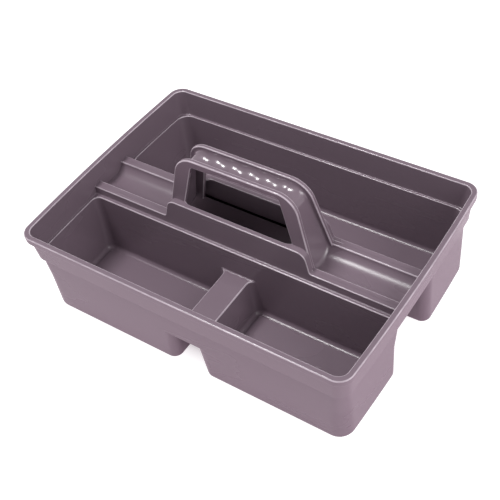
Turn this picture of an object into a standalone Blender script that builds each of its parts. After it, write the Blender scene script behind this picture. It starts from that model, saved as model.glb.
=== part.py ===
"""Open two-well carry caddy with a fixed centre handle, moulded in one piece.

The moulding is divided where its own features meet: rim, upper wall, wells, bins, saddle,
trays, guards and the parts of the handle. Metres, +Z up, origin under the middle of the base,
X along the long side, the divided well at -Y.
"""

import math

import bmesh
import bpy

MM = 0.001
GAP = 0.3                    # left between neighbouring nodes

# Whole caddy, mm
HALF_LENGTH = 200.0          # rim, measured at its corners
HALF_WIDTH = 144.3
RIM_Z = 115.5
END_BOW = 3.8                # how far the end walls swell outwards at mid-width
WALL = 2.8

# Rim and upper wall
FLANGE_WIDTH = 6.3
FLANGE_THICK = 2.7
LIP_DROP = 8.5
LIP_THICK = 2.2
LEDGE_Z = 83.0               # stacking ledge, its top face

# Wells and bins
WELL_END = 188.7             # inner face at the ledge, from the middle
WELL_OUTER_Y = 133.2
WELL_SPINE_Y = 34.3
END_DRAFT = 0.9              # each inner face moves in by this much from ledge to floor
SPINE_DRAFT = 2.0
LEDGE_WIDTH = 2.7
SADDLE_Z = 50.5
SADDLE_THICK = 2.3
DIVIDER_X = 2.5
DIVIDER_HALF = 16.0
DIVIDER_DRAFT = 4.7
FLOOR_FILLET = 5.0
BASE_FILLET = 6.0

# Spine: trays, guards and handle
TRAY_Z = 92.5
TRAY_HALF = 29.3
TROUGH_HALF = 18.3
TROUGH_DEPTH = 11.5
TRAY_END = 195.0
TRAY_START = 92.0
TRAY_THICK = 2.4
GUARD_Z = 116.5
GUARD_HALF = 91.7
GUARD_LEDGE = 5.7            # width of a guard's top band
GUARD_LEAN = 0.07            # how far a guard leans in for each mm of height
HANDLE_Z = 175.2
HANDLE_FOOT_Z = 84.0
LEG_OUT = 90.4               # outer edge of a leg at LEG_REF_Z
LEG_IN = 73.1
LEG_REF_Z = 97.0
LEG_LEAN_OUT = 0.24
LEG_LEAN_IN = 0.27
BEND_RADIUS = 25.5
GRIP_UNDER_Z = 167.4
FLANGE_Y = 21.9              # outer face of a handle flange at LEG_REF_Z
FLANGE_LEAN = 0.09
HANDLE_FLANGE = 5.0
WEB_RECESS = 6.2
WEB_THICK = 2.5
FINGERS = 4
FINGER_PITCH = 20.4
FINGER_RISE = 2.0


def clear_scene():
    for old in list(bpy.data.objects):
        bpy.data.objects.remove(old, do_unlink=True)


def plastic(name, colour, roughness):
    """One opaque moulded plastic, named for its node."""
    material = bpy.data.materials.new(name)
    material.use_nodes = True
    shader = material.node_tree.nodes["Principled BSDF"]
    shader.inputs["Base Color"].default_value = (*colour, 1.0)
    shader.inputs["Roughness"].default_value = roughness
    material.diffuse_color = (*colour, 1.0)
    return material


def node(name, points, faces):
    """A node from points in millimetres, with its faces turned outwards."""
    mesh = bpy.data.meshes.new(name)
    work = bmesh.new()
    verts = [work.verts.new([value * MM for value in point]) for point in points]
    for face in faces:
        work.faces.new([verts[index] for index in face])
    bmesh.ops.recalc_face_normals(work, faces=work.faces)
    work.to_mesh(mesh)
    work.free()
    obj = bpy.data.objects.new(name, mesh)
    caddy.objects.link(obj)
    mesh.materials.append(plastic(name + "_plastic", (0.21, 0.185, 0.205), 0.45))
    return obj


def bowed(point):
    """The end walls swell outwards towards the middle of the caddy's width."""
    x, y, z = point
    return (x + END_BOW * (x / HALF_LENGTH) * (1 - (y / HALF_WIDTH) ** 2), y, z)


def outline(low_x, high_x, low_y, high_y, radii, z, arc_steps=6, side_steps=6):
    """A rounded rectangle as a loop. radii: near left, near right, far right, far left."""
    near_left, near_right, far_right, far_left = radii
    corners = [
        (high_x - near_right, low_y + near_right, near_right, -90),
        (high_x - far_right, high_y - far_right, far_right, 0),
        (low_x + far_left, high_y - far_left, far_left, 90),
        (low_x + near_left, low_y + near_left, near_left, 180),
    ]
    arcs = []
    for centre_x, centre_y, radius, start in corners:
        arc = []
        for step in range(arc_steps + 1):
            angle = math.radians(start + 90 * step / arc_steps)
            arc.append((centre_x + radius * math.cos(angle), centre_y + radius * math.sin(angle), z))
        arcs.append(arc)
    loop = []
    for index, arc in enumerate(arcs):
        loop += arc
        last = arc[-1]
        following = arcs[(index + 1) % 4][0]
        for step in range(1, side_steps):
            share = step / side_steps
            loop.append(tuple(a + (b - a) * share for a, b in zip(last, following)))
    return [bowed(point) for point in loop]


def loft(name, loops, ring=False):
    """Joins equal loops with quads. A ring's last loop meets its first, and others get end caps."""
    count = len(loops[0])
    points = [point for loop in loops for point in loop]
    faces = []
    spans = len(loops) if ring else len(loops) - 1
    for span in range(spans):
        here = span * count
        there = ((span + 1) % len(loops)) * count
        for index in range(count):
            after = (index + 1) % count
            faces.append((here + index, here + after, there + after, there + index))
    if not ring:
        faces.append(tuple(range(count)))
        faces.append(tuple(range(len(points) - count, len(points))))
    return node(name, points, faces)


def extrude(name, section, start, end):
    """A closed section of (y, z) points run along X."""
    near = [(start, y, z) for y, z in section]
    far = [(end, y, z) for y, z in section]
    return loft(name, [near, far])


# Rim: flat flange with a turned-down lip

def rim_loop(inset, z, radius):
    return outline(-HALF_LENGTH + inset, HALF_LENGTH - inset, -HALF_WIDTH + inset,
                   HALF_WIDTH - inset, [radius] * 4, z, arc_steps=8, side_steps=10)


def build_rim():
    under = RIM_Z - FLANGE_THICK
    lip_z = RIM_Z - LIP_DROP
    loft("rim_flange", [
        rim_loop(0.6, RIM_Z, 14.7),
        rim_loop(FLANGE_WIDTH, RIM_Z, 10.6),
        rim_loop(FLANGE_WIDTH + 0.15, under, 10.5),
        rim_loop(LIP_THICK, under, 13.2),
        rim_loop(LIP_THICK, lip_z, 13.2),
        rim_loop(0.2, lip_z, 14.9),
        rim_loop(0.0, RIM_Z - 0.6, 15.1),
    ], ring=True)


def build_upper_wall():
    top = RIM_Z - FLANGE_THICK - GAP
    foot = LEDGE_Z - WALL
    loft("upper_wall", [
        rim_loop(3.3, top, 12.6),
        rim_loop(6.5, top, 10.6),
        rim_loop(8.3, foot, 12.4),
        rim_loop(5.5, foot, 14.4),
    ], ring=True)


# Wells: open boxes that hang from the stacking ledge

def well_faces(z, outwards=0.0):
    """Inner faces of a well at a height, as distances from the middle, moved outwards."""
    down = (LEDGE_Z - z) / LEDGE_Z
    end = WELL_END - END_DRAFT * down + outwards
    outer = WELL_OUTER_Y - END_DRAFT * down + outwards
    spine = WELL_SPINE_Y + SPINE_DRAFT * down - outwards
    return end, outer, spine


def well_loop(side, z, outwards=0.0, fillet=0.0):
    """side -1 is the divided front well, +1 the rear one."""
    end, outer, spine = well_faces(z, outwards - fillet)
    outer_radius = max(14.0 + outwards - fillet, 2.0)
    spine_radius = max(8.0 + outwards - fillet, 2.0)
    if side < 0:
        radii = [outer_radius, outer_radius, spine_radius, spine_radius]
        return outline(-end, end, -outer, -spine, radii, z)
    radii = [spine_radius, spine_radius, outer_radius, outer_radius]
    return outline(-end, end, spine, outer, radii, z)


def ledge_loop(side, z):
    """Outer edge of the stacking ledge round a well."""
    end = WELL_END + LEDGE_WIDTH
    outer = WELL_OUTER_Y + LEDGE_WIDTH - 0.2
    spine = WELL_SPINE_Y - 6.3
    outer_radius = 12.0
    if side < 0:
        return outline(-end, end, -outer, -spine, [outer_radius, outer_radius, 3.0, 3.0], z)
    return outline(-end, end, spine, outer, [3.0, 3.0, outer_radius, outer_radius], z)


def build_front_well():
    foot = SADDLE_Z - SADDLE_THICK
    under = LEDGE_Z - WALL
    loft("front_well_wall", [
        well_loop(-1, foot, WALL),
        well_loop(-1, under, WALL),
        ledge_loop(-1, under),
        ledge_loop(-1, LEDGE_Z),
        well_loop(-1, LEDGE_Z),
        well_loop(-1, foot),
    ], ring=True)


def basket_levels(top_z):
    """(height, outwards, fillet) from the middle of the underside, up the outside and down inside."""
    levels = []
    for step in range(5):
        angle = math.radians(90 * step / 4)
        levels.append((BASE_FILLET * (1 - math.sin(angle)), WALL, BASE_FILLET * (1 - math.cos(angle))))
    levels.reverse()
    levels.append((top_z, WALL, 0.0))
    levels.append((top_z, 0.0, 0.0))
    for step in range(5):
        angle = math.radians(90 * step / 4)
        height = WALL + FLOOR_FILLET * (1 - math.sin(angle))
        levels.append((height, 0.0, FLOOR_FILLET * (1 - math.cos(angle))))
    return levels


def build_rear_bin():
    under = LEDGE_Z - WALL
    loops = []
    for z, outwards, fillet in basket_levels(LEDGE_Z):
        if z == LEDGE_Z and outwards:
            loops.append(well_loop(1, under, WALL))
            loops.append(ledge_loop(1, under))
            loops.append(ledge_loop(1, LEDGE_Z))
        else:
            loops.append(well_loop(1, z, outwards, fillet))
    loft("rear_bin", loops)


def front_bin_loop(side, z, outwards, fillet):
    """side -1 is the left bin, +1 the right one."""
    end, outer, spine = well_faces(z, outwards - fillet)
    top = SADDLE_Z - SADDLE_THICK
    inner = DIVIDER_HALF + DIVIDER_DRAFT * (top - z) / top - outwards + fillet
    outer_radius = max(14.0 + outwards - fillet, 2.0)
    small = max(8.0 + outwards - fillet, 2.0)
    if side < 0:
        return outline(-end, DIVIDER_X - inner, -outer, -spine,
                       [outer_radius, small, small, small], z)
    return outline(DIVIDER_X + inner, end, -outer, -spine,
                   [small, outer_radius, small, small], z)


def build_front_bins():
    top = SADDLE_Z - SADDLE_THICK - GAP
    for side, name in ((-1, "front_left_bin"), (1, "front_right_bin")):
        loft(name, [front_bin_loop(side, *level) for level in basket_levels(top)])


def build_saddle():
    """Bridge over the gap between the front bins, a little wider where it meets each wall."""
    _, outer, spine = well_faces(SADDLE_Z)
    near = -outer + 2 * GAP
    far = -spine - 2 * GAP
    stations = 12
    left = []
    right = []
    for step in range(stations + 1):
        y = near + (far - near) * step / stations
        to_wall = min(y - near, far - y)
        flare = 4.0 * max(0.0, 1 - to_wall / 12.0) ** 2
        left.append((DIVIDER_X - DIVIDER_HALF - flare, y))
        right.append((DIVIDER_X + DIVIDER_HALF + flare, y))
    plan = right + left[::-1]
    loft("divider_saddle", [
        [(x, y, SADDLE_Z - SADDLE_THICK) for x, y in plan],
        [(x, y, SADDLE_Z) for x, y in plan],
    ])


# Spine: a tray with a rounded trough on each side of the handle

def tray_section():
    def trough(half, depth, top):
        arc = []
        for step in range(13):
            angle = math.pi * step / 12
            arc.append((-half * math.cos(angle), top - depth * math.sin(angle)))
        return arc

    foot = LEDGE_Z + GAP
    under = TRAY_Z - TRAY_THICK
    top = [(-TRAY_HALF - 1.1, foot), (-TRAY_HALF, TRAY_Z)]
    top += trough(TROUGH_HALF, TROUGH_DEPTH, TRAY_Z)
    top += [(TRAY_HALF, TRAY_Z), (TRAY_HALF + 1.1, foot)]
    below = [(-TRAY_HALF + 1.4, foot), (-TRAY_HALF + 2.3, under)]
    below += trough(TROUGH_HALF + 2.2, TROUGH_DEPTH, under)
    below += [(TRAY_HALF - 2.3, under), (TRAY_HALF - 1.4, foot)]
    return top + below[::-1]


def build_trays():
    extrude("left_tray", tray_section(), -TRAY_END, -TRAY_START)
    extrude("right_tray", tray_section(), TRAY_START, TRAY_END)


# Guards: panels that stand on the spine's edges beside the handle

def guard_outline(inset):
    """Closed (x, z) outline of a guard, moved inwards."""
    foot = LEDGE_Z + GAP + inset
    half = GUARD_HALF - inset
    radius = 12.0 - inset
    top = GUARD_Z - inset
    shoulder = half - 4.0
    right = [(half, foot), (half, TRAY_Z)]
    for step in range(7):
        angle = math.radians(8 + 82 * step / 6)
        right.append((shoulder - radius + radius * math.cos(angle), top - radius + radius * math.sin(angle)))
    return right + [(-x, z) for x, z in right[::-1]]


def guard_y(z):
    if z < TRAY_Z:
        return TRAY_HALF + 1.1 * (TRAY_Z - z) / (TRAY_Z - LEDGE_Z - GAP)
    return TRAY_HALF - GUARD_LEAN * (z - TRAY_Z)


def build_guards():
    for side, name in ((-1, "front_guard"), (1, "rear_guard")):
        loops = []
        for inset, depth in ((0.0, 0.0), (0.0, GUARD_LEDGE), (2.2, GUARD_LEDGE), (2.2, 2.5)):
            loops.append([(x, side * (guard_y(z) - depth), z) for x, z in guard_outline(inset)])
        loft(name, loops)


# Handle: two flanges with a recessed web between them

def flange_y(z):
    """Outer face of a handle flange: the grip is narrower than the foot."""
    return FLANGE_Y - FLANGE_LEAN * (z - LEG_REF_Z)


def arch(inset, foot_z):
    """Right half of the handle's outline, foot to crown, moved inwards."""
    top = HANDLE_Z - inset
    radius = BEND_RADIUS - inset
    tilt = math.atan(LEG_LEAN_OUT)
    slant = inset / math.cos(tilt)
    centre_x = (LEG_OUT - LEG_LEAN_OUT * (HANDLE_Z - LEG_REF_Z)
                - BEND_RADIUS * math.tan((math.pi / 2 - tilt) / 2))
    foot_x = LEG_OUT - slant - LEG_LEAN_OUT * (TRAY_Z - LEG_REF_Z)
    points = [(foot_x, foot_z), (foot_x, TRAY_Z)]
    for step in range(9):
        angle = tilt + (math.pi / 2 - tilt) * step / 8
        points.append((centre_x + radius * math.cos(angle), top - radius + radius * math.sin(angle)))
    return points


def finger_rise(x):
    """Height of the finger scallops over the plain underside of the grip."""
    reach = FINGERS * FINGER_PITCH / 2
    if abs(x) >= reach:
        return 0.0
    place = ((x + reach) % FINGER_PITCH) / FINGER_PITCH
    return FINGER_RISE * (0.35 + 0.65 * math.sin(math.pi * place))


def grip_stations():
    """x positions along the grip, close enough together for the scallops."""
    reach = FINGERS * FINGER_PITCH / 2
    steps = FINGERS * 6
    return [-reach - 0.01] + [-reach + 2 * reach * step / steps for step in range(steps + 1)] + [reach + 0.01]


def build_handle_flanges():
    outer = arch(0.0, HANDLE_FOOT_Z)
    hole_x = LEG_IN - LEG_LEAN_IN * (GRIP_UNDER_Z - LEG_REF_Z)
    inner = [(LEG_IN - LEG_LEAN_IN * (HANDLE_FOOT_Z - LEG_REF_Z), HANDLE_FOOT_Z)]
    inner.append((hole_x + 0.8, GRIP_UNDER_Z - 2.2))
    inner.append((hole_x - 1.4, GRIP_UNDER_Z))
    under = [(x, GRIP_UNDER_Z + finger_rise(x)) for x in grip_stations()]
    left_edge = [(-x, z) for x, z in inner]
    plan = outer + [(-x, z) for x, z in outer[::-1]] + left_edge + under + inner[::-1]
    for side, name in ((-1, "handle_front_flange"), (1, "handle_rear_flange")):
        loft(name, [
            [(x, side * flange_y(z), z) for x, z in plan],
            [(x, side * (flange_y(z) - HANDLE_FLANGE), z) for x, z in plan],
        ])


def web_plate(name, top, under):
    """A plate between the flanges whose faces follow two matching (x, z) runs."""
    plan = top + under[::-1]
    reach = HANDLE_FLANGE + GAP
    loft(name, [
        [(x, -flange_y(z) + reach, z) for x, z in plan],
        [(x, flange_y(z) - reach, z) for x, z in plan],
    ])


def build_handle_webs():
    reach = FINGERS * FINGER_PITCH / 2
    crown = HANDLE_Z - WEB_RECESS
    top = [(x, crown + finger_rise(x)) for x in grip_stations()]
    web_plate("grip_web", top, [(x, z - WEB_THICK) for x, z in top])

    trough_z = TRAY_Z - TROUGH_DEPTH
    foot_radius = 5.0
    tilt = math.atan(LEG_LEAN_OUT)
    for side, name in ((-1, "left_leg_web"), (1, "right_leg_web")):
        faces = []
        for depth in (0.0, WEB_THICK):
            leg = arch(WEB_RECESS + depth, LEG_REF_Z)
            leg_x = leg[1][0]
            run = [(TRAY_START - GAP, trough_z - depth)]
            radius = foot_radius + depth
            for step in range(7):
                angle = math.radians(270) - (math.radians(90) - tilt) * step / 6
                run.append((leg_x + 1.2 + foot_radius + radius * math.cos(angle),
                            trough_z + foot_radius + radius * math.sin(angle)))
            run += leg[2:]
            run.append((reach + 0.01 + GAP, leg[-1][1]))
            faces.append([(side * x, z) for x, z in run])
        web_plate(name, faces[0], faces[1])


clear_scene()
caddy = bpy.data.collections.new("carry_caddy")
bpy.context.scene.collection.children.link(caddy)

build_rim()
build_upper_wall()
build_front_well()
build_front_bins()
build_rear_bin()
build_saddle()
build_trays()
build_guards()
build_handle_flanges()
build_handle_webs()
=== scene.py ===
import math

import bmesh
import bpy
from mathutils import Matrix, Vector


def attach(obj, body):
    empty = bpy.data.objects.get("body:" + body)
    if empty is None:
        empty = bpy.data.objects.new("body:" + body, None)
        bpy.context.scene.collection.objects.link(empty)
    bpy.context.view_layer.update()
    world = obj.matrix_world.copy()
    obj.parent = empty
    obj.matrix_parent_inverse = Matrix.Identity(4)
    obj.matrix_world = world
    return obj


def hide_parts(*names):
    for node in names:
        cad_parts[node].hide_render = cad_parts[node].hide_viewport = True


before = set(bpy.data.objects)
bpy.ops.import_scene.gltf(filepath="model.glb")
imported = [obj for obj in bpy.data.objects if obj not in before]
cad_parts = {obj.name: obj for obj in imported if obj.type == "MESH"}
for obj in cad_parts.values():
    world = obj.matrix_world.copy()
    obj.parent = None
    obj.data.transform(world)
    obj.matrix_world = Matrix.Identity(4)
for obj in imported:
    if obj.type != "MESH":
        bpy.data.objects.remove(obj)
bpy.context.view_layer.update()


# Rim and upper wall
# One continuous strip of moulded polypropylene round the whole caddy: a flat rim about 6 mm wide
# with a turned-down lip outside it, and under it the plain wall down to the stacking ledge.

MM = 0.001
HALF_LENGTH = 200.0          # over the rim, at its corners
HALF_WIDTH = 144.3
RIM_TOP = 115.5
RIM_WIDTH = 6.3
RIM_UNDER = 112.8            # underside of the flat rim
RIM_CORNER = 15.1            # plan radius of the rim's outer edge
CORNER_SHRINK = 0.71         # the plan radius shrinks by this for each mm in from that edge
CORNER_GROWTH = 0.1          # and grows by this for each mm below the rim's top
END_BOW = 3.8                # the end walls swell outwards by this at mid-width
LIP_FOOT = 107.0
LIP_INNER = 2.2              # the lip's inner face, in from the rim's outer edge
UPPER_FOOT = 80.2
WALL_TAPER = 2.0             # the wall's inner face moves in by this from rim to foot
HOLD = 0.05                  # distance from a rounded edge to the point that keeps the flat flat


def bowed(x, y, z):
    """The end walls are slightly barrelled in plan."""
    return (x + END_BOW * (x / HALF_LENGTH) * (1 - (y / HALF_WIDTH) ** 2), y, z)


def outline(low_x, high_x, low_y, high_y, radii, z, arc_steps=12, side_steps=24):
    """A level loop with rounded corners. radii: near left, near right, far right, far left."""
    near_left, near_right, far_right, far_left = radii
    corners = [
        (high_x - near_right, low_y + near_right, near_right, -90),
        (high_x - far_right, high_y - far_right, far_right, 0),
        (low_x + far_left, high_y - far_left, far_left, 90),
        (low_x + near_left, low_y + near_left, near_left, 180),
    ]
    arcs = []
    for centre_x, centre_y, radius, start in corners:
        arc = []
        for step in range(arc_steps + 1):
            angle = math.radians(start + 90 * step / arc_steps)
            arc.append((centre_x + radius * math.cos(angle), centre_y + radius * math.sin(angle)))
        arcs.append(arc)
    loop = []
    for index, arc in enumerate(arcs):
        following = arcs[(index + 1) % 4][0]
        loop += arc
        for step in range(1, side_steps):
            share = step / side_steps
            loop.append((arc[-1][0] + (following[0] - arc[-1][0]) * share,
                         arc[-1][1] + (following[1] - arc[-1][1]) * share))
    return [bowed(x, y, z) for x, y in loop]


def rounded(corners, steps=4, closed=True):
    """A section given as (a, b, radius) corners, with each corner that has a radius made an arc."""
    section = []
    for index, (a, b, radius) in enumerate(corners):
        here = Vector((a, b))
        at_end = not closed and index in (0, len(corners) - 1)
        if radius == 0 or at_end:
            section.append((a, b))
            continue
        before = (Vector(corners[index - 1][:2]) - here).normalized()
        after = (Vector(corners[(index + 1) % len(corners)][:2]) - here).normalized()
        half_angle = before.angle(after) / 2
        reach = radius / math.tan(half_angle)
        centre = here + (before + after).normalized() * (radius / math.sin(half_angle))
        first = here + before * reach - centre
        last = here + after * reach - centre
        start = math.atan2(first.y, first.x)
        turn = (math.atan2(last.y, last.x) - start + math.pi) % (2 * math.pi) - math.pi
        section.append(tuple(centre + first + before * HOLD))
        for step in range(steps + 1):
            angle = start + turn * step / steps
            section.append((centre.x + radius * math.cos(angle), centre.y + radius * math.sin(angle)))
        section.append(tuple(centre + last + after * HOLD))
    return section


def solid(name, points, faces):
    """A mesh object from points in millimetres, with the faces turned outwards."""
    mesh = bpy.data.meshes.new(name)
    mesh.from_pydata([[value * MM for value in point] for point in points], [], faces)
    obj = bpy.data.objects.new(name, mesh)
    bpy.context.scene.collection.objects.link(obj)
    bpy.context.view_layer.objects.active = obj
    bpy.ops.object.mode_set(mode="EDIT")
    bpy.ops.mesh.select_all(action="SELECT")
    bpy.ops.mesh.normals_make_consistent(inside=False)
    bpy.ops.object.mode_set(mode="OBJECT")
    return obj


def loft(name, loops, ring=False):
    """Joins equal loops with quads. A ring's last loop meets its first, and others get end caps."""
    count = len(loops[0])
    points = [point for loop in loops for point in loop]
    faces = []
    spans = len(loops) if ring else len(loops) - 1
    for span in range(spans):
        here = span * count
        there = ((span + 1) % len(loops)) * count
        for index in range(count):
            after = (index + 1) % count
            faces.append((here + index, here + after, there + after, there + index))
    if not ring:
        faces.append(tuple(range(count)))
        faces.append(tuple(range(len(points) - count, len(points))))
    return solid(name, points, faces)


def shader_group(name, inputs, outputs):
    """An empty node group with named sockets, each given as name: (socket type, default)."""
    group = bpy.data.node_groups.new(name, "ShaderNodeTree")
    for title, (kind, value) in inputs.items():
        group.interface.new_socket(title, in_out="INPUT", socket_type=kind).default_value = value
    for title, kind in outputs.items():
        group.interface.new_socket(title, in_out="OUTPUT", socket_type=kind)
    start = group.nodes.new("NodeGroupInput")
    end = group.nodes.new("NodeGroupOutput")
    return group, start, end


def build_moulded_grain():
    """Height of a steel mould's fine matt texture, over slow waves where thick plastic has sunk."""
    group, start, end = shader_group(
        "moulded_grain",
        {"Grain Scale": ("NodeSocketFloat", 1500.0), "Grain": ("NodeSocketFloat", 0.5),
         "Sink": ("NodeSocketFloat", 1.0)},
        {"Height": "NodeSocketFloat"})
    nodes = group.nodes
    links = group.links
    place = nodes.new("ShaderNodeTexCoord")
    grain = nodes.new("ShaderNodeTexNoise")
    grain.inputs["Detail"].default_value = 3.0
    grain.inputs["Roughness"].default_value = 0.6
    links.new(place.outputs["Object"], grain.inputs["Vector"])
    links.new(start.outputs["Grain Scale"], grain.inputs["Scale"])
    waves = nodes.new("ShaderNodeTexNoise")
    waves.inputs["Scale"].default_value = 26.0
    waves.inputs["Detail"].default_value = 1.0
    links.new(place.outputs["Object"], waves.inputs["Vector"])
    fine = nodes.new("ShaderNodeMath")
    fine.operation = "MULTIPLY"
    links.new(grain.outputs["Fac"], fine.inputs[0])
    links.new(start.outputs["Grain"], fine.inputs[1])
    slow = nodes.new("ShaderNodeMath")
    slow.operation = "MULTIPLY"
    links.new(waves.outputs["Fac"], slow.inputs[0])
    links.new(start.outputs["Sink"], slow.inputs[1])
    both = nodes.new("ShaderNodeMath")
    both.operation = "ADD"
    links.new(fine.outputs["Value"], both.inputs[0])
    links.new(slow.outputs["Value"], both.inputs[1])
    links.new(both.outputs["Value"], end.inputs["Height"])
    return group


def build_flow_marks():
    """Colour and gloss of filled polypropylene: faint cloudy streaks where the melt ran."""
    group, start, end = shader_group(
        "flow_marks",
        {"Colour": ("NodeSocketColor", (0.2, 0.15, 0.18, 1.0)),
         "Streak Colour": ("NodeSocketColor", (0.22, 0.17, 0.2, 1.0)),
         "Roughness": ("NodeSocketFloat", 0.42), "Gloss Spread": ("NodeSocketFloat", 0.04)},
        {"Colour": "NodeSocketColor", "Roughness": "NodeSocketFloat"})
    nodes = group.nodes
    links = group.links
    place = nodes.new("ShaderNodeTexCoord")
    stretch = nodes.new("ShaderNodeMapping")
    stretch.inputs["Scale"].default_value = (7.0, 11.0, 30.0)
    links.new(place.outputs["Object"], stretch.inputs["Vector"])
    streaks = nodes.new("ShaderNodeTexNoise")
    streaks.inputs["Scale"].default_value = 1.0
    streaks.inputs["Detail"].default_value = 2.0
    streaks.inputs["Distortion"].default_value = 0.3
    links.new(stretch.outputs["Vector"], streaks.inputs["Vector"])
    specks = nodes.new("ShaderNodeTexNoise")
    specks.inputs["Scale"].default_value = 900.0
    specks.inputs["Detail"].default_value = 2.0
    links.new(place.outputs["Object"], specks.inputs["Vector"])
    even = nodes.new("ShaderNodeMix")
    even.data_type = "FLOAT"
    even.inputs[0].default_value = 0.3
    links.new(streaks.outputs["Fac"], even.inputs[2])
    links.new(specks.outputs["Fac"], even.inputs[3])
    tint = nodes.new("ShaderNodeMix")
    tint.data_type = "RGBA"
    links.new(even.outputs[0], tint.inputs[0])
    links.new(start.outputs["Colour"], tint.inputs[6])
    links.new(start.outputs["Streak Colour"], tint.inputs[7])
    links.new(tint.outputs[2], end.inputs["Colour"])
    centred = nodes.new("ShaderNodeMath")
    centred.operation = "SUBTRACT"
    centred.inputs[1].default_value = 0.5
    links.new(streaks.outputs["Fac"], centred.inputs[0])
    spread = nodes.new("ShaderNodeMath")
    spread.operation = "MULTIPLY_ADD"
    links.new(centred.outputs["Value"], spread.inputs[0])
    links.new(start.outputs["Gloss Spread"], spread.inputs[1])
    links.new(start.outputs["Roughness"], spread.inputs[2])
    links.new(spread.outputs["Value"], end.inputs["Roughness"])
    return group


def build_painted_edge_highlight():
    """Mask of the moulding's rounded edges, broken up a little, where a pale highlight is painted on."""
    group, start, end = shader_group(
        "painted_edge_highlight",
        {"Amount": ("NodeSocketFloat", 1.0)},
        {"Edge": "NodeSocketFloat"})
    nodes = group.nodes
    links = group.links
    marked = nodes.new("ShaderNodeAttribute")
    marked.attribute_name = "edge_highlight_paint"
    place = nodes.new("ShaderNodeTexCoord")
    patches = nodes.new("ShaderNodeTexNoise")
    patches.inputs["Scale"].default_value = 60.0
    links.new(place.outputs["Object"], patches.inputs["Vector"])
    broken = nodes.new("ShaderNodeMapRange")
    broken.inputs["From Min"].default_value = 0.25
    broken.inputs["From Max"].default_value = 0.6
    broken.inputs["To Min"].default_value = 0.55
    links.new(patches.outputs["Fac"], broken.inputs["Value"])
    # the marked edges, broken up, carry the painted highlight
    highlit_edges = nodes.new("ShaderNodeMath")
    highlit_edges.operation = "MULTIPLY"
    links.new(marked.outputs["Fac"], highlit_edges.inputs[0])
    links.new(broken.outputs["Result"], highlit_edges.inputs[1])
    scaled = nodes.new("ShaderNodeMath")
    scaled.operation = "MULTIPLY"
    links.new(highlit_edges.outputs["Value"], scaled.inputs[0])
    links.new(start.outputs["Amount"], scaled.inputs[1])
    links.new(scaled.outputs["Value"], end.inputs["Edge"])
    return group


moulded_grain = build_moulded_grain()
painted_edge_highlight = build_painted_edge_highlight()
flow_marks = build_flow_marks()


CADDY_MAUVE = (0.203, 0.150, 0.186)
STREAK_MAUVE = (0.210, 0.156, 0.193)
# pale colour painted on the rounded outside edges as a highlight
EDGE_HIGHLIGHT_MAUVE = (0.56, 0.48, 0.54)


def caddy_plastic(name, roughness, grain, sink):
    """Mauve-grey polypropylene as it leaves the mould, with a pale highlight painted along its outside
    edges, which are also a little less rough.
    """
    material = bpy.data.materials.new(name)
    material.use_nodes = True
    nodes = material.node_tree.nodes
    links = material.node_tree.links
    shader = nodes["Principled BSDF"]
    shader.inputs["IOR"].default_value = 1.49
    marks = nodes.new("ShaderNodeGroup")
    marks.node_tree = flow_marks
    marks.inputs["Colour"].default_value = (*CADDY_MAUVE, 1.0)
    marks.inputs["Streak Colour"].default_value = (*STREAK_MAUVE, 1.0)
    marks.inputs["Roughness"].default_value = roughness
    edge_highlight_mask = nodes.new("ShaderNodeGroup")
    edge_highlight_mask.node_tree = painted_edge_highlight
    # the rounded edges are mixed towards the pale colour: a painted highlight
    paler = nodes.new("ShaderNodeMix")
    paler.data_type = "RGBA"
    paler.inputs[7].default_value = (*EDGE_HIGHLIGHT_MAUVE, 1.0)
    links.new(edge_highlight_mask.outputs["Edge"], paler.inputs[0])
    links.new(marks.outputs["Colour"], paler.inputs[6])
    links.new(paler.outputs[2], shader.inputs["Base Color"])
    smoother = nodes.new("ShaderNodeMath")
    smoother.operation = "MULTIPLY_ADD"
    smoother.inputs[1].default_value = -0.08
    links.new(edge_highlight_mask.outputs["Edge"], smoother.inputs[0])
    links.new(marks.outputs["Roughness"], smoother.inputs[2])
    links.new(smoother.outputs["Value"], shader.inputs["Roughness"])
    texture = nodes.new("ShaderNodeGroup")
    texture.node_tree = moulded_grain
    texture.inputs["Grain"].default_value = grain
    texture.inputs["Sink"].default_value = sink
    bump = nodes.new("ShaderNodeBump")
    bump.inputs["Strength"].default_value = 1.0
    bump.inputs["Distance"].default_value = 0.0001
    links.new(texture.outputs["Height"], bump.inputs["Height"])
    links.new(bump.outputs["Normal"], shader.inputs["Normal"])
    return material


satin_plastic = caddy_plastic("satin_mauve_grey", roughness=0.27, grain=0.25, sink=1.0)


ROUNDED_EDGE_TURNS = (13, 40)     # degrees between the facets of a rounded outside edge
SHARPEST_SMOOTH = 42              # degrees between faces that still shade as one surface


def mark_highlight_edges(mesh):
    """Stores 1 on the points of rounded outside edges and 0 on all others, as the mask of the painted edge
    highlight.
    """
    least, most = ROUNDED_EDGE_TURNS
    marks = mesh.attributes.new("edge_highlight_paint", "FLOAT", "POINT")
    work = bmesh.new()
    work.from_mesh(mesh)
    for vert in work.verts:
        turns = [math.degrees(edge.calc_face_angle_signed(0.0)) for edge in vert.link_edges]
        marks.data[vert.index].value = float(any(least < turn < most for turn in turns))
    work.free()


def settle(obj, material, slot, *nodes, highlit_edges=True):
    """Gives a moulded piece its soft shading, plastic and place, and its painted edge highlight if it has
    one.
    """
    mesh = obj.data
    if highlit_edges:
        mark_highlight_edges(mesh)
    mesh.polygons.foreach_set("use_smooth", [True] * len(mesh.polygons))
    mesh.set_sharp_from_angle(angle=math.radians(SHARPEST_SMOOTH))
    even = obj.modifiers.new("even_faces", "WEIGHTED_NORMAL")
    even.mode = "FACE_AREA"
    even.weight = 60
    even.keep_sharp = True
    mesh.materials.append(material)
    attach(obj, "root")
    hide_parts(*nodes)


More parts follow.
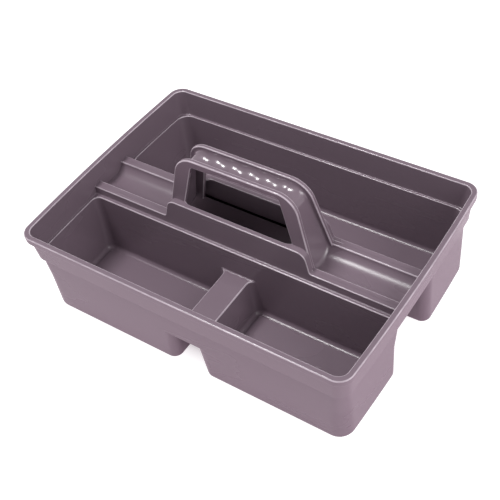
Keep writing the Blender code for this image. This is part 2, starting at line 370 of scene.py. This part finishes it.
def rim_loop(inset, z):
    """Round the caddy at a distance in from the rim's outer edge."""
    radius = RIM_CORNER - CORNER_SHRINK * inset + CORNER_GROWTH * (RIM_TOP - z)
    return outline(-HALF_LENGTH + inset, HALF_LENGTH - inset, -HALF_WIDTH + inset,
                   HALF_WIDTH - inset, [radius] * 4, z, side_steps=36)


def upper_wall_inset(z):
    """Inner face of the upper wall, in from the rim's outer edge."""
    return RIM_WIDTH + WALL_TAPER * (RIM_TOP - z) / (RIM_TOP - UPPER_FOOT)


rim_section = rounded([
    (5.45, UPPER_FOOT, 0.8),
    (3.3, RIM_UNDER, 0.5),
    (LIP_INNER, RIM_UNDER, 0.4),
    (LIP_INNER, LIP_FOOT, 0.7),
    (0.2, LIP_FOOT, 0.9),
    (0.0, RIM_TOP, 1.3),
    (RIM_WIDTH, RIM_TOP, 1.1),
    (RIM_WIDTH + WALL_TAPER, UPPER_FOOT, 0.0),
])
rim = loft("rim_and_upper_wall", [rim_loop(inset, z) for inset, z in rim_section], ring=True)
settle(rim, satin_plastic, "satin_plastic", "rim_flange", "upper_wall")


# Front well
# The open upper half of the front compartment, in the same moulding: its ledge carries the
# caddy stacked above, and its four walls run straight on into the two bins below.

LEDGE = 83.0                 # stacking ledge, top face
WELL_END = 188.7             # inner faces at the ledge, from the caddy's middle
WELL_OUTER = 133.2
WELL_SPINE = 34.3
END_DRAFT = 0.9              # each inner face moves in by this from ledge to floor
SPINE_DRAFT = 2.0
OUTER_CORNER = 14.0          # plan radii of a well's corners: away from the spine
SPINE_CORNER = 8.0           # and beside it
LEAST_CORNER = 2.0
WALL = 2.8
LEDGE_WIDTH = 3.0
OUTER_TIGHTENING = 1.4       # the corners' radii shrink by this from the ledge's edge to the wall
SPINE_TIGHTENING = 5.0
LEDGE_ROUND = 0.9
INTO_WALL = 1.2              # the ledge is moulded into the upper wall by this
UP_WALL = 1.6
SIDE_LEAN = 0.07             # the spine's side panels lean in by this for each mm of height
SIDE_Y = 29.3                # their outer face at TRAY_TOP
TRAY_TOP = 92.5
SEAM = 48.2                  # height where the well's walls become the bins' walls


def well_faces(z, offset):
    """A well's end, outer and spine faces at a height, each moved out of the well by the offset."""
    down = (LEDGE - z) / LEDGE
    end = WELL_END - END_DRAFT * down + offset
    outer = WELL_OUTER - END_DRAFT * down + offset
    spine = WELL_SPINE + SPINE_DRAFT * down - offset
    return end, outer, spine


def corner_radii(offset):
    """Plan radii of a well's outer and spine corners, moved out of the well by the offset."""
    return max(OUTER_CORNER + offset, LEAST_CORNER), max(SPINE_CORNER + offset, LEAST_CORNER)


def side_of_spine(side, end, outer, spine, outer_radius, spine_radius, z):
    """A level loop on one side of the spine. side -1 is the front, +1 the rear."""
    if side < 0:
        radii = [outer_radius, outer_radius, spine_radius, spine_radius]
        return outline(-end, end, -outer, -spine, radii, z)
    radii = [spine_radius, spine_radius, outer_radius, outer_radius]
    return outline(-end, end, spine, outer, radii, z)


def well_loop(side, z, outwards=0.0, fillet=0.0):
    """Round a well's walls at a height."""
    offset = outwards - fillet
    return side_of_spine(side, *well_faces(z, offset), *corner_radii(offset), z)


def ledge_loop(side, outwards, z):
    """Round the ledge, from the well's edge (0) out to the upper wall (LEDGE_WIDTH) and beyond."""
    share = outwards / LEDGE_WIDTH
    wall = upper_wall_inset(LEDGE)
    panel = SIDE_Y + SIDE_LEAN * (TRAY_TOP - LEDGE)
    end = WELL_END + (HALF_LENGTH - wall - WELL_END) * share
    outer = WELL_OUTER + (HALF_WIDTH - wall - WELL_OUTER) * share
    spine = WELL_SPINE + (panel - WELL_SPINE) * share
    outer_radius = OUTER_CORNER - OUTER_TIGHTENING * share
    spine_radius = SPINE_CORNER - SPINE_TIGHTENING * share
    return side_of_spine(side, end, outer, spine, outer_radius, spine_radius, z)


ledge_section = rounded([
    (WALL, UPPER_FOOT, 0.0),
    (LEDGE_WIDTH + INTO_WALL, UPPER_FOOT, 0.0),
    (LEDGE_WIDTH + INTO_WALL, LEDGE + UP_WALL, 0.0),
    (LEDGE_WIDTH, LEDGE + UP_WALL, 0.0),
    (LEDGE_WIDTH, LEDGE, LEDGE_ROUND),
    (0.0, LEDGE, LEDGE_ROUND),
    (0.0, UPPER_FOOT, 0.0),
], closed=False)
front_levels = [well_loop(-1, SEAM, WALL)]
front_levels += [ledge_loop(-1, outwards, z) for outwards, z in ledge_section[:-1]]
front_levels += [well_loop(-1, UPPER_FOOT), well_loop(-1, SEAM)]
front_well = loft("front_well_walls", front_levels, ring=True)
settle(front_well, satin_plastic, "satin_plastic", "front_well_wall")


# Front bins
# The two bins hang under the front well with a rounded base, a coved floor edge and a floor panel
# raised a little inside the cove. They are moulded with the walls above, so no joint shows.

DIVIDER_X = 2.5
DIVIDER_HALF = 16.0          # from the divider's middle to a bin's inner face, at SEAM
DIVIDER_DRAFT = 4.7
BASE_FILLET = 6.0
FLOOR_COVE = 5.0
PANEL_RISE = 1.6             # the floor panel stands this much above the edge of the cove
PANEL_MARGIN = 1.0           # flat strip between the cove and the panel's step
PANEL_STEP = 0.7             # width of the step
PANEL_HOLD = 0.4             # distance from the step to the point that keeps the panel flat
BIN_ARC_STEPS = 8
PANEL_ARC_STEPS = 6


def bin_levels(top):
    """(height, outwards, fillet) up the outside from the base, and down inside to the floor."""
    quarter = [math.radians(90 * step / BIN_ARC_STEPS) for step in range(BIN_ARC_STEPS + 1)]
    outside = []
    for angle in quarter:
        z = BASE_FILLET * (1 - math.cos(angle))
        outside.append((z, WALL, BASE_FILLET * (1 - math.sin(angle))))
    outside.append((top, WALL, 0.0))
    inside = [(top, 0.0, 0.0)]
    for angle in quarter:
        z = WALL + FLOOR_COVE * (1 - math.sin(angle))
        inside.append((z, 0.0, FLOOR_COVE * (1 - math.cos(angle))))
    step_start = FLOOR_COVE + PANEL_MARGIN
    for step in range(PANEL_ARC_STEPS + 1):
        share = step / PANEL_ARC_STEPS
        rise = PANEL_RISE * (1 - math.cos(math.pi * share)) / 2
        inside.append((WALL + rise, 0.0, step_start + PANEL_STEP * share))
    inside.append((WALL + PANEL_RISE, 0.0, step_start + PANEL_STEP + PANEL_HOLD))
    return outside, inside


def front_bin_loop(side, z, outwards, fillet):
    """Round a front bin at a height. side -1 is the left bin, +1 the right one."""
    offset = outwards - fillet
    end, outer, spine = well_faces(z, offset)
    inner = DIVIDER_HALF + DIVIDER_DRAFT * (SEAM - z) / SEAM - offset
    large, small = corner_radii(offset)
    if side < 0:
        return outline(-end, DIVIDER_X - inner, -outer, -spine, [large, small, small, small], z)
    return outline(DIVIDER_X + inner, end, -outer, -spine, [small, large, small, small], z)


outside, inside = bin_levels(SEAM)
for side, piece_name, node_name in ((-1, "left_front_bin", "front_left_bin"),
                                    (1, "right_front_bin", "front_right_bin")):
    front_bin = loft(piece_name, [front_bin_loop(side, *level) for level in outside + inside])
    settle(front_bin, satin_plastic, "satin_plastic", node_name)


# Divider saddle
# The bridge between the front bins: a flat top with rounded edges that follow the bins' corners
# and small fillets where it runs into the front and spine walls. It is hollow underneath.

SADDLE_TOP = 50.5
SADDLE_ROUND = 1.5
SADDLE_ROUND_STEPS = 5
SADDLE_FILLET = 1.3
SADDLE_OUTER_Y, SADDLE_SPINE_Y = [-face for face in well_faces(SEAM, 0.0)[1:]]


def saddle_rows():
    """Stations from the front wall to the spine wall, as (part, angle in degrees or share)."""
    turns = [90, 84, 78, 72, 66, 60, 52, 44, 35, 26, 17, 8, 0]
    rows = [("near", turn) for turn in turns]
    rows += [("middle", step / 8) for step in range(1, 8)]
    rows += [("far", turn) for turn in reversed(turns)]
    return rows


def saddle_edge(part, where, offset):
    """A point of the saddle's right edge, offset away from the bin, as (x from the middle, y)."""
    near = SADDLE_OUTER_Y + SPINE_CORNER
    far = SADDLE_SPINE_Y - SPINE_CORNER
    if part == "middle":
        return DIVIDER_HALF - offset, near + (far - near) * where
    angle = math.radians(where)
    x = DIVIDER_HALF + SPINE_CORNER - (SPINE_CORNER + offset) * math.cos(angle)
    reach = (SPINE_CORNER + offset) * math.sin(angle)
    return x, near - reach if part == "near" else far + reach


def saddle_lift(y):
    """Height of the fillets against the two walls."""
    away = min(y - SADDLE_OUTER_Y, SADDLE_SPINE_Y - y)
    if away >= SADDLE_FILLET:
        return 0.0
    away = max(away, 0.0)
    return SADDLE_FILLET - math.sqrt(SADDLE_FILLET ** 2 - (SADDLE_FILLET - away) ** 2)


def saddle_section(part, where):
    """One station: up the left edge, over the top and down the right edge."""
    edge = [(-0.1, SEAM), (0.0, SADDLE_TOP - SADDLE_ROUND)]
    for step in range(1, SADDLE_ROUND_STEPS + 1):
        angle = math.radians(90 * step / SADDLE_ROUND_STEPS)
        edge.append((SADDLE_ROUND * (1 - math.cos(angle)),
                     SADDLE_TOP - SADDLE_ROUND * (1 - math.sin(angle))))
    right = []
    for offset, z in edge:
        x, y = saddle_edge(part, where, offset)
        lift = saddle_lift(y) * max(0.0, (z - SADDLE_TOP + SADDLE_ROUND) / SADDLE_ROUND)
        right.append((x, y, z + lift))
    left = [(-x, y, z) for x, y, z in right]
    top_x, top_y, top_z = right[-1]
    across = [(top_x * (2 * step / 6 - 1), top_y, top_z) for step in range(1, 6)]
    return [(DIVIDER_X + x, y, z) for x, y, z in left + across + right[::-1]]


saddle = loft("divider_bridge", [saddle_section(*row) for row in saddle_rows()])
settle(saddle, satin_plastic, "satin_plastic", "divider_saddle")


# Rear bin
# One long undivided bin, moulded with the rest: the same ledge, walls, coved edge and raised
# floor panel as the front ones, down to the same base.

outside, inside = bin_levels(UPPER_FOOT)
rear_levels = [well_loop(1, *level) for level in outside]
rear_levels += [ledge_loop(1, outwards, z) for outwards, z in ledge_section[1:-1]]
rear_levels += [well_loop(1, *level) for level in inside]
rear = loft("rear_bin_and_ledge", rear_levels)
settle(rear, satin_plastic, "satin_plastic", "rear_bin")


# Spine sides and guards
# Each side of the spine is one panel that rises beside the handle into a knuckle guard, with a
# flat band along its top. The band is solid to the handle at the legs and free between them.

TRAY_END = 197.0             # runs into the end walls
SIDE_FOOT = 81.5
GUARD_END = 92.5             # where the front guard's end meets the tray
REAR_GUARD_END = 88.0
GUARD_SLOPE = 0.26           # the ends lean in by this for each mm of height
GUARD_TOP = 116.5
GUARD_BAND = 5.7
GUARD_LIP = 2.2
GUARD_FOOT_FILLET = 3.0
GUARD_CORNER = 11.5
SIDE_THICK = 3.0
BAND_AT_LEGS = 2.9           # extra depth that closes the gap to the handle's flange
BAND_STARTS = 62.0           # distance from the middle where that extra depth begins
BAND_EASE = 6.0              # and the length over which it grows
GUARD_MARGIN = 1.5           # the band's ends change shape this far inside the guard's ends
SIDE_CURVE_STEPS = 14
SIDE_LAND_STEPS = 16
SIDE_TOP_STEPS = 24


def eased(share):
    """0 to 1 with soft ends."""
    share = min(max(share, 0.0), 1.0)
    return share * share * (3 - 2 * share)


def guard_end_of(side):
    return GUARD_END if side < 0 else REAR_GUARD_END


def side_outline(side, inset):
    """Closed (x, z) outline of a side panel, moved into the panel by the inset."""
    slant = 1 / math.cos(math.atan(GUARD_SLOPE)) - GUARD_SLOPE
    guard_end = guard_end_of(side)
    end = guard_end - slant * inset
    shoulder = guard_end - GUARD_SLOPE * (GUARD_TOP - TRAY_TOP) - slant * inset
    land_z = TRAY_TOP - inset
    top_z = GUARD_TOP - inset
    curves = rounded([
        (TRAY_END, land_z, 0.0),
        (end, land_z, GUARD_FOOT_FILLET + inset),
        (shoulder, top_z, GUARD_CORNER - inset),
        (0.0, top_z, 0.0),
    ], steps=SIDE_CURVE_STEPS, closed=False)[1:-1]
    half = [(TRAY_END, SIDE_FOOT)]
    for step in range(SIDE_LAND_STEPS):
        half.append((TRAY_END + (curves[0][0] - TRAY_END) * step / SIDE_LAND_STEPS, land_z))
    half += curves
    for step in range(1, SIDE_TOP_STEPS + 1):
        half.append((curves[-1][0] * (1 - step / SIDE_TOP_STEPS), top_z))
    return half + [(-x, z) for x, z in half[-2::-1]]


def side_y(z):
    """Outer face of a side panel at a height."""
    return SIDE_Y - SIDE_LEAN * (z - TRAY_TOP)


side_section = rounded([
    (SIDE_THICK, 0.0, 0.0),
    (0.0, 0.0, 1.0),
    (0.0, GUARD_BAND, 0.9),
    (GUARD_LIP, GUARD_BAND, 0.3),
    (GUARD_LIP, 2.6, 0.0),
], closed=False)


def side_loop(side, inset, depth):
    """One loop of a side panel. The band's inner edge is square where the tray runs on from it."""
    full = side_outline(side, 0.0)
    loop = []
    for (x, z), (full_x, full_z) in zip(side_outline(side, inset), full):
        if depth > GUARD_BAND / 2 and inset < GUARD_LIP:
            square = eased((abs(full_x) - GUARD_END + GUARD_MARGIN) / 4.0)
            x += (full_x - x) * square
            z += (full_z - z) * square
        reach = depth
        if depth > GUARD_BAND / 2:
            begun = eased((abs(x) - BAND_STARTS) / BAND_EASE)
            ended = eased((abs(x) - guard_end_of(side) + GUARD_MARGIN) / 2.0)
            reach += BAND_AT_LEGS * begun * (1 - ended)
        loop.append((x, side * (side_y(z) - reach), z))
    return loop


for side, piece_name, node_name in ((-1, "front_spine_side", "front_guard"),
                                    (1, "rear_spine_side", "rear_guard")):
    panel = loft(piece_name, [side_loop(side, inset, depth) for inset, depth in side_section])
    settle(panel, satin_plastic, "satin_plastic", node_name)


# Trays
# A long round-bottomed trough for pens and blades on each side of the handle, with a flat land
# along both its edges. It runs from the handle's foot straight into the end wall.

LAND_EDGE = SIDE_Y - GUARD_BAND
TROUGH_HALF = 18.3
TROUGH_DEPTH = 11.5
TRAY_START = 90.0
TRAY_THICK = 2.4
UNDER_SPREAD = 2.2           # the trough's underside is wider by this on each side
TROUGH_EDGE = 1.5
TROUGH_EDGE_TURN = 84        # degrees that the rounded edge turns from the land into the trough


def trough_z(y):
    """Height of the trough's surface."""
    return TRAY_TOP - TROUGH_DEPTH * math.sqrt(max(0.0, 1 - (y / TROUGH_HALF) ** 2))


def tray_section():
    """Closed (y, z) section of a tray."""
    turn = math.radians(TROUGH_EDGE_TURN)
    drop = TROUGH_EDGE * (1 - math.cos(turn))
    lip_y = TROUGH_HALF * math.sqrt(1 - (drop / TROUGH_DEPTH) ** 2)
    centre_y = lip_y + TROUGH_EDGE * math.sin(turn)
    half = [(LAND_EDGE, TRAY_TOP), ((LAND_EDGE + centre_y) / 2, TRAY_TOP)]
    for step in range(6):
        angle = turn * step / 5
        half.append((centre_y - TROUGH_EDGE * math.sin(angle),
                     TRAY_TOP - TROUGH_EDGE * (1 - math.cos(angle))))
    first = math.acos(lip_y / TROUGH_HALF)
    for step in range(1, 17):
        angle = first + (math.pi / 2 - first) * step / 16
        half.append((TROUGH_HALF * math.cos(angle), TRAY_TOP - TROUGH_DEPTH * math.sin(angle)))
    top = half + [(-y, z) for y, z in half[-2::-1]]
    under = []
    for step in range(25):
        angle = math.pi * step / 24
        under.append(((TROUGH_HALF + UNDER_SPREAD) * math.cos(angle),
                      TRAY_TOP - TRAY_THICK - TROUGH_DEPTH * math.sin(angle)))
    under = [(LAND_EDGE, TRAY_TOP - TRAY_THICK)] + under + [(-LAND_EDGE, TRAY_TOP - TRAY_THICK)]
    return top + under[::-1]


for side, piece_name, node_name in ((-1, "left_trough", "left_tray"), (1, "right_trough", "right_tray")):
    stations = [TRAY_START + (TRAY_END - TRAY_START) * step / 10 for step in range(11)]
    tray = loft(piece_name, [[(side * x, y, z) for y, z in tray_section()] for x in stations])
    settle(tray, satin_plastic, "satin_plastic", node_name)


# Handle flanges
# The bail handle is a channel: these are its two side plates, with full round beads along their
# outer edges, leaning together towards the grip and finger scallops along the lower edge.

HANDLE_TOP = 175.2
HANDLE_FOOT = 84.0
LEG_OUT = 90.4               # outer edge of a leg at LEG_AT
LEG_IN = 73.1
LEG_AT = 97.0
LEAN_OUT = 0.24
LEAN_IN = 0.27
BEND = 25.5                  # radius of the outer edge between leg and grip
BEND_STEPS = 20
GRIP_UNDER = 166.9
FLANGE_Y = 21.9
FLANGE_LEAN = 0.09
FLANGE_THICK = 5.0
HOLE_CORNER = 5.0
FINGER_PITCH = 20.9
FINGER_MIDDLE = 6.2          # a crest between fingers lies here
SCALLOP_BASE = 1.2           # the grip's lower edge is raised by this among the scallops
SCALLOP_RISE = 0.9           # and by this more in the middle of each
SCALLOPS_LEFT = -34.0        # the scallops begin here
SCALLOPS_RIGHT = 52.0        # and are half as deep from here on
BEAD_ROUND = 1.3
HOLE_ROUND = 1.0


def flange_y(z):
    """Outer face of a flange: the grip is narrower than the foot."""
    return FLANGE_Y - FLANGE_LEAN * (z - LEG_AT)


def bend_centre():
    """Centre of the right bend between leg and grip, as (x, z)."""
    tilt = math.atan(LEAN_OUT)
    x = LEG_OUT - LEAN_OUT * (HANDLE_TOP - LEG_AT) - BEND * math.tan((math.pi / 2 - tilt) / 2)
    return x, HANDLE_TOP - BEND


def outer_arch(inset):
    """Right half of the handle's outer edge from foot to crown, moved inwards."""
    tilt = math.atan(LEAN_OUT)
    centre_x, centre_z = bend_centre()
    foot_x = LEG_OUT - LEAN_OUT * (HANDLE_FOOT - LEG_AT) - inset / math.cos(tilt)
    points = [(foot_x, HANDLE_FOOT)]
    for step in range(BEND_STEPS + 1):
        angle = tilt + (math.pi / 2 - tilt) * step / BEND_STEPS
        points.append((centre_x + (BEND - inset) * math.cos(angle),
                       centre_z + (BEND - inset) * math.sin(angle)))
    points += [(centre_x * share, HANDLE_TOP - inset) for share in (0.75, 0.5, 0.25, 0.0)]
    return points


def finger_wave(x):
    """1 at a crest between two fingers, -1 in the middle of a finger's hollow."""
    return math.cos(2 * math.pi * (x - FINGER_MIDDLE) / FINGER_PITCH)


def under_edge(x):
    """Lower edge of the grip's flanges, with a shallow scallop at each crest."""
    phase = ((x - FINGER_MIDDLE) / FINGER_PITCH + 0.5) % 1.0
    scallops = SCALLOP_BASE + SCALLOP_RISE * math.sin(math.pi * phase)
    begun = eased((x - SCALLOPS_LEFT) / 8)
    ended = eased((x - SCALLOPS_RIGHT) / 5)
    return GRIP_UNDER + scallops * begun * (1 - 0.5 * ended)


def hole_edge(inset):
    """The hole's edge from the right foot over the top to the left foot, moved into the handle."""
    tilt = math.atan(LEAN_IN)
    shift = inset / math.cos(tilt)

    def leg(z):
        return LEG_IN - LEAN_IN * (z - LEG_AT) + shift

    ends = []
    for side in (1, -1):
        level = under_edge(side * 50) + inset
        corner = rounded([(leg(HANDLE_FOOT), HANDLE_FOOT, 0.0), (leg(level), level, HOLE_CORNER + inset),
                          (0.0, level, 0.0)], steps=8, closed=False)[:-1]
        ends.append([(side * x, z) for x, z in corner])
    right, left = ends
    left.reverse()
    stations = 66
    first = right[-1][0]
    last = left[0][0]
    middle = []
    for step in range(1, stations):
        x = first + (last - first) * step / stations
        middle.append((x, under_edge(x) + inset))
    return right + middle + left


def flange_loop(side, outer_inset, outer_depth, hole_inset, hole_depth):
    """One loop of a side plate: over the handle's outer edge and back round the hole."""
    right = outer_arch(outer_inset)
    outer = right + [(-x, z) for x, z in right[-2::-1]]
    loop = [(x, side * (flange_y(z) - outer_depth), z) for x, z in outer]
    loop += [(x, side * (flange_y(z) - hole_depth), z) for x, z in hole_edge(hole_inset)[::-1]]
    return loop


def plate_edge(radius):
    """(inset, depth) round one edge of a plate, from its outer face to its inner one."""
    face = 4.0
    return rounded([(face, 0.0, 0.0), (0.0, 0.0, radius), (0.0, FLANGE_THICK, radius),
                    (face, FLANGE_THICK, 0.0)], steps=6, closed=False)[1:-1]


for side, piece_name, node_name in ((-1, "front_handle_plate", "handle_front_flange"),
                                    (1, "rear_handle_plate", "handle_rear_flange")):
    loops = []
    for bead, edge in zip(plate_edge(BEAD_ROUND), plate_edge(HOLE_ROUND)):
        loops.append(flange_loop(side, *bead, *edge))
    plate = loft(piece_name, loops)
    settle(plate, satin_plastic, "satin_plastic", node_name)


# Grip and leg channel
# The floor of the handle's channel: flat-bottomed up the legs, round-bottomed and rippled for the
# fingers along the grip, and swept at its feet into the troughs. Polished smoother than the rest.

LEG_RECESS = 6.2             # the leg's channel lies this far below the beads
CHANNEL_HALF = 14.0
CHANNEL_ROUND = 2.0
CHANNEL_THICK = 2.5
GRIP_LIP = 2.0
GRIP_DEPTH = 9.3
RIPPLE = 0.85
RIPPLE_END = 50.0            # distance from the middle where the ripples begin to fade
RIPPLE_FADE = 12.0
FOOT_FILLET = 5.0
FOOT_DROP = 0.02             # its feet end this far under the troughs' surface
INTO_PLATE = 0.05            # the channel is moulded into the side plates by this

grip_plastic = caddy_plastic("polished_mauve_grey", roughness=0.24, grain=0.06, sink=1.2)
grip_shader = grip_plastic.node_tree.nodes["Principled BSDF"]
grip_shader.inputs["Coat Weight"].default_value = 0.9
grip_shader.inputs["Coat Roughness"].default_value = 0.24


def channel_recess(across, on_grip, x):
    """Depth of the channel below the handle's outer edge. across runs from -1 to 1 over its
    width, and on_grip from 0 on a leg to 1 on the grip."""
    from_side = CHANNEL_HALF * (1 - abs(across))
    flat = LEG_RECESS
    if from_side < CHANNEL_ROUND:
        short = CHANNEL_ROUND - from_side
        flat -= CHANNEL_ROUND - math.sqrt(CHANNEL_ROUND ** 2 - short ** 2)
    cove = GRIP_LIP + GRIP_DEPTH * math.sqrt(max(0.0, 1 - across * across))
    fade = 1 - eased((abs(x) - RIPPLE_END) / RIPPLE_FADE)
    cove -= RIPPLE * finger_wave(x) * (1 - across * across) * fade
    return flat + (cove - flat) * on_grip


def channel_column(across, deeper):
    """(x, z) up the right leg and round its bend, for one lengthwise line of the channel."""
    tilt = math.atan(LEAN_OUT)
    centre_x, centre_z = bend_centre()
    line = []
    foot_half = flange_y(90) - FLANGE_THICK
    foot_z = trough_z(across * foot_half) - FOOT_DROP - deeper
    past_ripples = RIPPLE_END + RIPPLE_FADE
    recess = channel_recess(across, 0.0, past_ripples) + deeper
    radius = FOOT_FILLET + deeper
    arc_z = foot_z + radius

    def leg(z):
        return LEG_OUT - LEAN_OUT * (z - LEG_AT) - recess / math.cos(tilt)

    arc_x = leg(arc_z) + radius / math.cos(tilt)
    for step in range(9):
        angle = math.radians(270) - (math.pi / 2 - tilt) * step / 8
        line.append((arc_x + radius * math.cos(angle), arc_z + radius * math.sin(angle)))
    last_z = line[-1][1]
    for step in range(1, 10):
        z = last_z + (centre_z + (BEND - recess) * math.sin(tilt) - last_z) * step / 10
        line.append((leg(z), z))
    for step in range(25):
        turn = step / 24
        angle = tilt + (math.pi / 2 - tilt) * turn
        on_grip = eased(turn * 1.15 - 0.1)
        here = channel_recess(across, on_grip, past_ripples) + deeper
        line.append((centre_x + (BEND - here) * math.cos(angle), centre_z + (BEND - here) * math.sin(angle)))
    return line


def channel_line(across, deeper):
    """A whole lengthwise line, right foot to left foot."""
    right = channel_column(across, deeper)
    left = [(-x, z) for x, z in right[::-1]]
    first = right[-1][0]
    crown = []
    stations = 84
    for step in range(1, stations):
        x = first - 2 * first * step / stations
        crown.append((x, HANDLE_TOP - channel_recess(across, 1.0, x) - deeper))
    line = right + crown + left
    return [(x, across * (flange_y(z) - FLANGE_THICK + INTO_PLATE), z) for x, z in line]


def build_channel():
    """The channel's shell: a row of points across its face and back across its underside."""
    columns = [math.sin(math.pi / 2 * step / 10) for step in range(-10, 11)]
    upper = [channel_line(across, 0.0) for across in columns]
    lower = [channel_line(across, CHANNEL_THICK) for across in columns]
    count = len(upper[0])
    rows = []
    for index in range(count):
        rows.append([line[index] for line in upper] + [line[index] for line in reversed(lower)])
    return loft("grip_and_leg_channel", rows)


channel = build_channel()
settle(channel, grip_plastic, "grip_plastic", "grip_web", "left_leg_web", "right_leg_web", highlit_edges=False)


# Studio
# A plain white table under an even white room, with one narrow soft box overhead to the left
# and one broad soft box from the right.

TABLE_HALF = 4.0
TABLE_DROP = 0.0005          # the table's top lies just under the caddy's base
UNDER_CADDY = (0.2, 0.142, 1.0)
TABLE_GREY = (0.5, 0.5, 0.5)
TABLE_GLOW = (0.62, 0.47, 0.56)   # light that comes back off the table's top onto the caddy


def lit_table():
    """A table that glows on to the caddy all round, but not under it, and looks plain white."""
    material = bpy.data.materials.new("lit_table")
    material.use_nodes = True
    nodes = material.node_tree.nodes
    links = material.node_tree.links
    shader = nodes["Principled BSDF"]
    shader.inputs["Base Color"].default_value = (*TABLE_GREY, 1.0)
    shader.inputs["Roughness"].default_value = 0.8
    shader.inputs["Emission Strength"].default_value = 1.0
    place = nodes.new("ShaderNodeTexCoord")
    across = nodes.new("ShaderNodeVectorMath")
    across.operation = "ABSOLUTE"
    links.new(place.outputs["Object"], across.inputs[0])
    scaled = nodes.new("ShaderNodeVectorMath")
    scaled.operation = "DIVIDE"
    scaled.inputs[1].default_value = UNDER_CADDY
    links.new(across.outputs["Vector"], scaled.inputs[0])
    sides = nodes.new("ShaderNodeSeparateXYZ")
    links.new(scaled.outputs["Vector"], sides.inputs["Vector"])
    furthest = nodes.new("ShaderNodeMath")
    furthest.operation = "MAXIMUM"
    links.new(sides.outputs["X"], furthest.inputs[0])
    links.new(sides.outputs["Y"], furthest.inputs[1])
    clear = nodes.new("ShaderNodeMapRange")
    clear.interpolation_type = "SMOOTHSTEP"
    clear.inputs["From Min"].default_value = 0.62
    clear.inputs["From Max"].default_value = 0.95
    clear.inputs["To Max"].default_value = 1.0
    links.new(furthest.outputs["Value"], clear.inputs["Value"])
    glow = nodes.new("ShaderNodeMix")
    glow.data_type = "RGBA"
    glow.inputs[6].default_value = (0.0, 0.0, 0.0, 1.0)
    glow.inputs[7].default_value = (*TABLE_GLOW, 1.0)
    links.new(clear.outputs["Result"], glow.inputs[0])
    rays = nodes.new("ShaderNodeLightPath")
    seen = nodes.new("ShaderNodeMath")
    seen.operation = "MULTIPLY"
    links.new(rays.outputs["Is Camera Ray"], seen.inputs[0])
    links.new(clear.outputs["Result"], seen.inputs[1])
    white = nodes.new("ShaderNodeMix")
    white.data_type = "RGBA"
    white.inputs[7].default_value = (1.0, 1.0, 1.0, 1.0)
    links.new(seen.outputs["Value"], white.inputs[0])
    links.new(glow.outputs[2], white.inputs[6])
    links.new(white.outputs[2], shader.inputs["Emission Color"])
    return material


table_corners = [(-TABLE_HALF, -TABLE_HALF, -TABLE_DROP), (TABLE_HALF, -TABLE_HALF, -TABLE_DROP),
                 (TABLE_HALF, TABLE_HALF, -TABLE_DROP), (-TABLE_HALF, TABLE_HALF, -TABLE_DROP)]
floor_mesh = bpy.data.meshes.new("studio_floor")
floor_mesh.from_pydata(table_corners, [], [(0, 1, 2, 3)])
floor_mesh.materials.append(lit_table())
floor = bpy.data.objects.new("studio_floor", floor_mesh)
bpy.context.scene.collection.objects.link(floor)


CADDY_MIDDLE = Vector((0.0, 0.0, 0.1))


def soft_box(name, direction, distance, size, power):
    """A square area light that faces the caddy."""
    lamp = bpy.data.lights.new(name, "AREA")
    lamp.shape = "SQUARE"
    lamp.size = size
    lamp.energy = power
    obj = bpy.data.objects.new(name, lamp)
    bpy.context.scene.collection.objects.link(obj)
    towards = Vector(direction).normalized()
    obj.location = CADDY_MIDDLE + towards * distance
    obj.rotation_euler = towards.to_track_quat("Z", "Y").to_euler()


def white_room():
    """Even white light from all round, half as strong overhead as at eye level."""
    world = bpy.data.worlds.new("white_room")
    world.use_nodes = True
    nodes = world.node_tree.nodes
    links = world.node_tree.links
    nodes["Background"].inputs["Color"].default_value = (1.0, 1.0, 1.0, 1.0)
    way = nodes.new("ShaderNodeTexCoord")
    parts = nodes.new("ShaderNodeSeparateXYZ")
    links.new(way.outputs["Generated"], parts.inputs["Vector"])
    light = nodes.new("ShaderNodeMapRange")
    light.inputs["From Min"].default_value = 0.1
    light.inputs["From Max"].default_value = 0.95
    light.inputs["To Min"].default_value = 0.5
    light.inputs["To Max"].default_value = 0.25
    links.new(parts.outputs["Z"], light.inputs["Value"])
    links.new(light.outputs["Result"], nodes["Background"].inputs["Strength"])
    return world


soft_box("overhead_box", (-0.35, -0.15, 0.92), distance=1.8, size=0.44, power=21.0)
soft_box("right_box", (0.85, 0.0, 0.6), distance=1.8, size=1.1, power=15.0)
bpy.context.scene.world = white_room()
bpy.context.scene.view_settings.view_transform = "Standard"


# Camera
# A standing person's view of the caddy on a table, from the front right.

CAMERA_AROUND = math.radians(39.404)
CAMERA_UP = math.radians(46.386)
CAMERA_ROLL = math.radians(-8.511)
CAMERA_DISTANCE = 0.96214
CAMERA_TARGET = Vector((0.02713, -0.02115, 0.090))

camera_data = bpy.data.cameras.new("camera")
camera_data.lens = 66.015
camera_data.sensor_width = 36.0
camera_data.shift_x = -0.0207
camera_data.shift_y = -0.0019
camera_data.clip_end = 50.0
camera = bpy.data.objects.new("camera", camera_data)
bpy.context.scene.collection.objects.link(camera)
back = Vector((math.sin(CAMERA_AROUND) * math.cos(CAMERA_UP),
               -math.cos(CAMERA_AROUND) * math.cos(CAMERA_UP), math.sin(CAMERA_UP)))
level = (-back).cross(Vector((0, 0, 1))).normalized()
upright = level.cross(-back)
right = level * math.cos(CAMERA_ROLL) + upright * math.sin(CAMERA_ROLL)
up = upright * math.cos(CAMERA_ROLL) - level * math.sin(CAMERA_ROLL)
turned = Matrix((right, up, back)).transposed().to_4x4()
camera.matrix_world = Matrix.Translation(CAMERA_TARGET + back * CAMERA_DISTANCE) @ turned
bpy.context.scene.camera = camera
